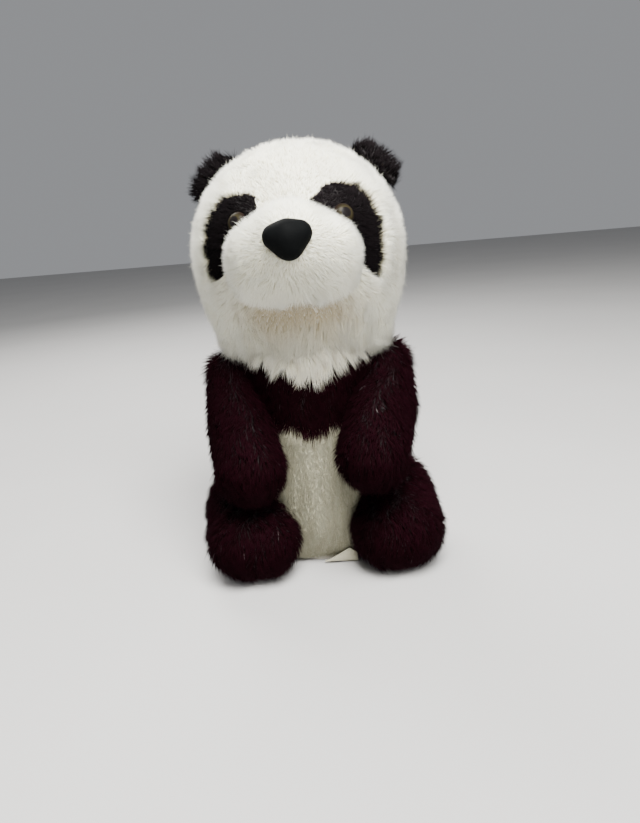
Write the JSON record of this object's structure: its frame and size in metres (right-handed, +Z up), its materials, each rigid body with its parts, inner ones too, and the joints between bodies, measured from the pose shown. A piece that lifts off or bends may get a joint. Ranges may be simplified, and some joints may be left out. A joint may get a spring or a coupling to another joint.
{
  "type": "plush panda",
  "caption": "Sitting plush panda with a turning and nodding head, folding ears, arms that lift and legs that splay, on a weighted flat seat.",
  "frame": {"origin": "middle of the flat seat panel's underside", "axes": "+Z up, -Y out of the face, +X to the panda's left"},
  "size_m": [0.1297, 0.1312, 0.22],
  "materials": {
    "white_fur": "long dense plush fur, off-white",
    "dark_fur": "long clumpy plush fur, near-black with a maroon cast",
    "cream_plush": "short cream plush",
    "fibre_fill": "loose polyester fibre",
    "backing_cloth": "plain woven cloth",
    "eye_plastic": "clear amber dome over a black pupil",
    "nose_plastic": "satin black, finely textured",
    "washer_plastic": "white moulded plastic",
    "pellet_plastic": "pale plastic pellets"
  },
  "bodies": {
    "head": {"head_gusset": "white_fur", "head_side_left": "white_fur", "head_side_right": "white_fur", "throat_panel": "white_fur", "muzzle_skin": "white_fur", "eye_patch_left": "dark_fur", "eye_patch_right": "dark_fur", "eye_left": "eye_plastic", "eye_right": "eye_plastic", "eye_washer_left": "washer_plastic", "eye_washer_right": "washer_plastic", "nose": "nose_plastic", "nose_washer": "washer_plastic", "head_stuffing": "fibre_fill", "muzzle_stuffing": "fibre_fill"},
    "neck": {"neck_stuffing": "fibre_fill"},
    "ear_left": {"ear_left_front": "dark_fur", "ear_left_back": "dark_fur"},
    "ear_right": {"ear_right_front": "dark_fur", "ear_right_back": "dark_fur"},
    "torso": {"torso_left": "dark_fur", "torso_right": "dark_fur", "chest_yoke": "dark_fur", "bib": "white_fur", "belly_panel": "cream_plush", "torso_stuffing": "fibre_fill", "seat_panel": "backing_cloth", "bean_bag_upper": "backing_cloth", "bean_bag_lower": "backing_cloth", "pellets": "pellet_plastic", "hem_tab": "backing_cloth"},
    "arm_left": {"arm_left_outer": "dark_fur", "arm_left_inner": "dark_fur", "arm_left_stuffing": "fibre_fill"},
    "arm_right": {"arm_right_outer": "dark_fur", "arm_right_inner": "dark_fur", "arm_right_stuffing": "fibre_fill"},
    "leg_left": {"leg_left_outer": "dark_fur", "leg_left_inner": "dark_fur", "leg_left_stuffing": "fibre_fill"},
    "leg_right": {"leg_right_outer": "dark_fur", "leg_right_inner": "dark_fur", "leg_right_stuffing": "fibre_fill"}
  },
  "joints": [
    {"name": "head_turn", "type": "hinge", "parent": "torso", "child": "neck", "pos_m": [0, 0.004, 0.11], "axis": [0, 0, 1], "range_deg": [-20, 20], "stiffness_Nm_per_rad": 0.4},
    {"name": "head_nod", "type": "hinge", "parent": "neck", "child": "head", "pos_m": [0, 0.004, 0.11], "axis": [1, 0, 0], "range_deg": [-8, 8], "stiffness_Nm_per_rad": 1.2},
    {"name": "arm_left_lift", "type": "hinge", "parent": "torso", "child": "arm_left", "pos_m": [0.042, -0.004, 0.101], "axis": [-1, 0, 0], "range_deg": [0, 32], "stiffness_Nm_per_rad": 0.05},
    {"name": "arm_right_lift", "type": "hinge", "parent": "torso", "child": "arm_right", "pos_m": [-0.042, -0.004, 0.101], "axis": [-1, 0, 0], "range_deg": [0, 32], "stiffness_Nm_per_rad": 0.05},
    {"name": "leg_left_splay", "type": "hinge", "parent": "torso", "child": "leg_left", "pos_m": [0.04, -0.006, 0.026], "axis": [0, 0, 1], "range_deg": [0, 25], "stiffness_Nm_per_rad": 0.08},
    {"name": "leg_right_splay", "type": "hinge", "parent": "torso", "child": "leg_right", "pos_m": [-0.04, -0.006, 0.026], "axis": [0, 0, -1], "range_deg": [0, 25], "stiffness_Nm_per_rad": 0.08},
    {"name": "ear_left_fold", "type": "hinge", "parent": "head", "child": "ear_left", "pos_m": [0.0422, 0.01551, 0.2033], "axis": [0.7108, -0.1819, -0.6795], "range_deg": [-20, 20], "stiffness_Nm_per_rad": 0.01},
    {"name": "ear_right_fold", "type": "hinge", "parent": "head", "child": "ear_right", "pos_m": [-0.04035, 0.01984, 0.2033], "axis": [0.7259, 0.1066, 0.6795], "range_deg": [-20, 20], "stiffness_Nm_per_rad": 0.01}
  ]
}
